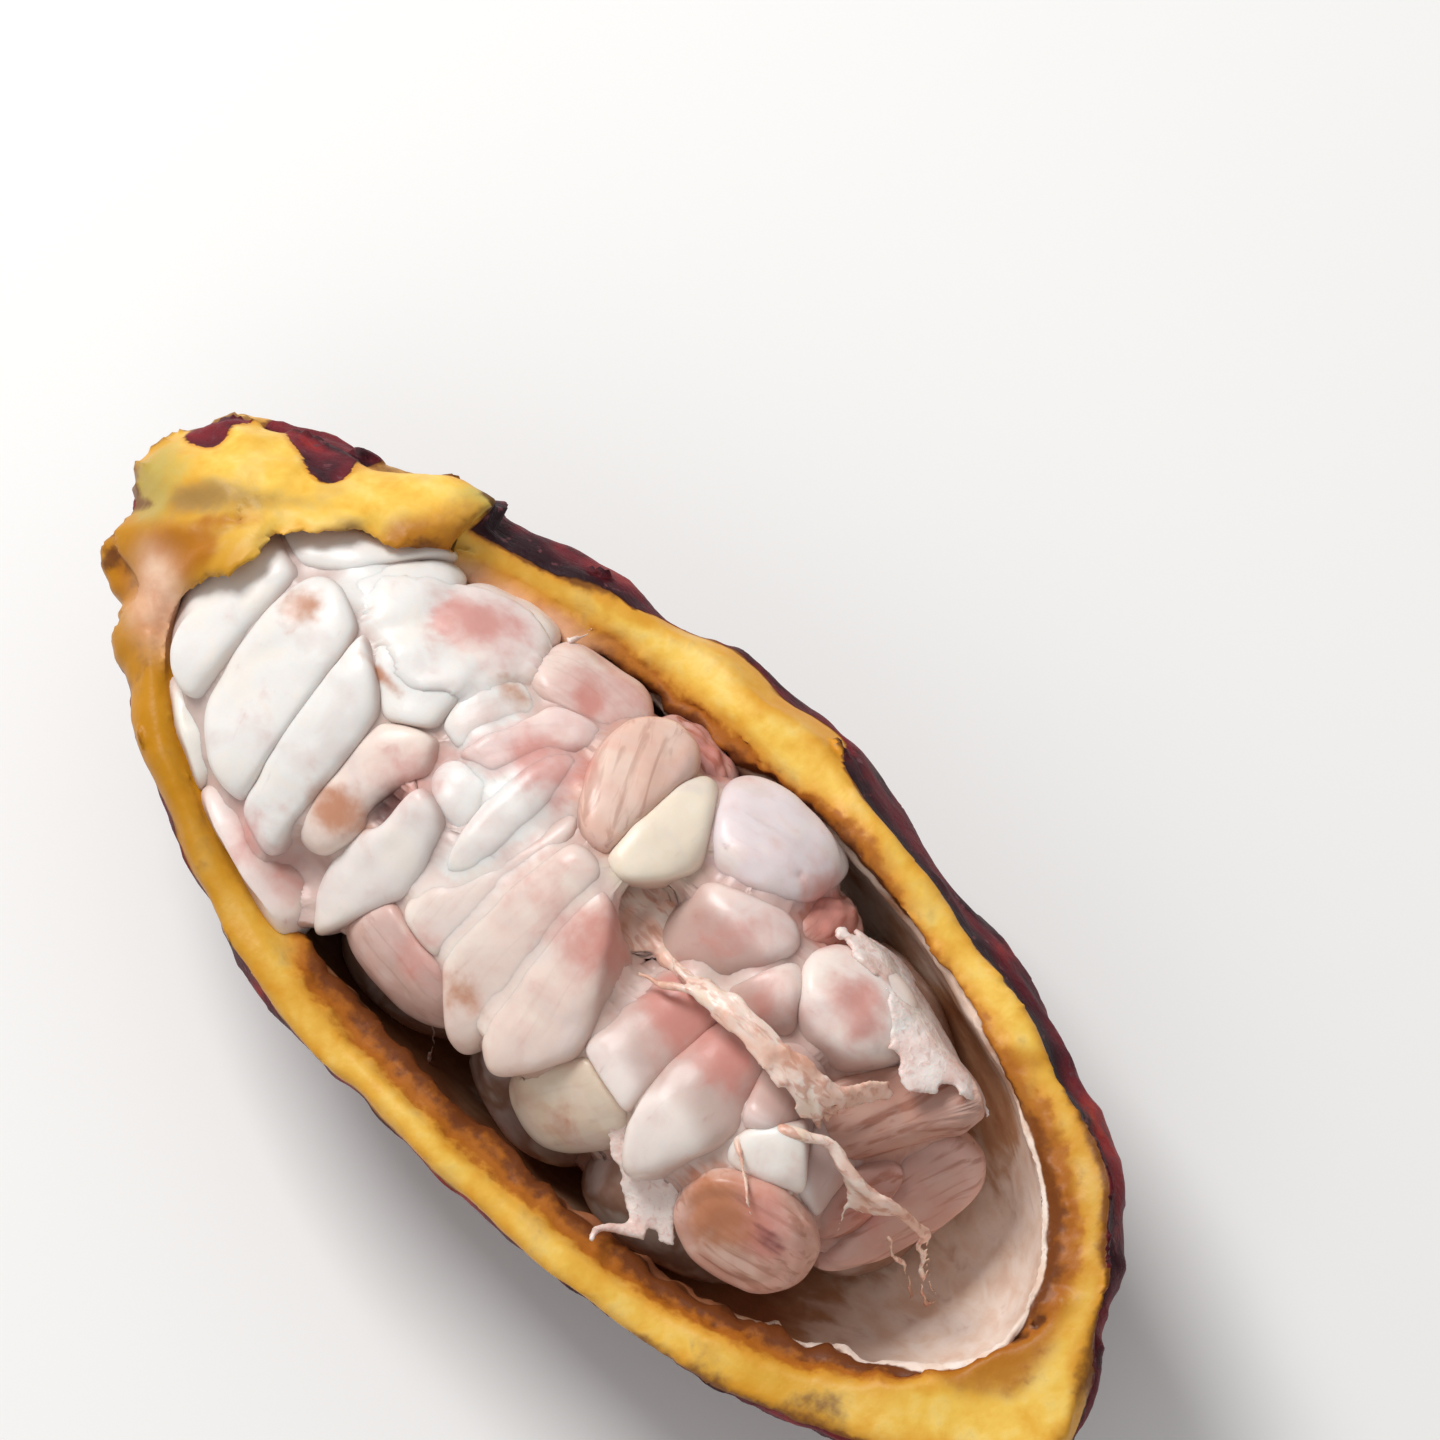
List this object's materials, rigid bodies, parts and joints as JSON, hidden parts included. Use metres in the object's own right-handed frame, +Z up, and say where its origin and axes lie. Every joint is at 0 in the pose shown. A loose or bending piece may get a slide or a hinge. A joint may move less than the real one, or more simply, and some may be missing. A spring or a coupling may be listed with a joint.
{
  "type": "open cacao pod half with seeds",
  "caption": "One half of a ripe cacao pod lying on its back, broken open, its pulp-covered seeds still on their placenta.",
  "frame": {"origin": "the middle of the flat spot under the husk that the pod rests on, below its widest place", "axes": "+X from the stem end to the tip, +Z up out of the open side"},
  "size_m": [0.2044, 0.089, 0.0641],
  "materials": {
    "husk_tissue": "dull ridged dark maroon skin over wet yellow flesh, with a cream lining inside",
    "seed_pulp": "moist white to pink mucilage, slightly translucent",
    "placenta_tissue": "moist pink-orange fibrous strand"
  },
  "bodies": {
    "root": {"husk": "husk_tissue", "placenta": "placenta_tissue", "bean_01": "seed_pulp", "bean_02": "seed_pulp", "bean_03": "seed_pulp", "bean_04": "seed_pulp", "bean_05": "seed_pulp", "bean_06": "seed_pulp", "bean_07": "seed_pulp", "bean_08": "seed_pulp", "bean_09": "seed_pulp", "bean_10": "seed_pulp", "bean_11": "seed_pulp", "bean_12": "seed_pulp", "bean_13": "seed_pulp", "bean_14": "seed_pulp", "bean_15": "seed_pulp", "bean_16": "seed_pulp", "bean_17": "seed_pulp", "bean_18": "seed_pulp", "bean_19": "seed_pulp", "bean_20": "seed_pulp", "bean_21": "seed_pulp", "bean_22": "seed_pulp", "bean_23": "seed_pulp", "bean_24": "seed_pulp", "bean_25": "seed_pulp", "bean_26": "seed_pulp", "bean_27": "seed_pulp", "bean_28": "seed_pulp", "bean_29": "seed_pulp", "bean_30": "seed_pulp", "bean_31": "seed_pulp", "bean_32": "seed_pulp", "bean_33": "seed_pulp", "bean_34": "seed_pulp", "bean_35": "seed_pulp", "bean_36": "seed_pulp", "bean_37": "seed_pulp", "bean_38": "seed_pulp", "bean_39": "seed_pulp", "bean_40": "seed_pulp", "bean_41": "seed_pulp", "bean_42": "seed_pulp", "bean_43": "seed_pulp", "bean_44": "seed_pulp", "bean_45": "seed_pulp", "bean_46": "seed_pulp", "bean_47": "seed_pulp", "bean_48": "seed_pulp", "bean_49": "seed_pulp", "bean_50": "seed_pulp", "bean_51": "seed_pulp"}
  },
  "joints": []
}
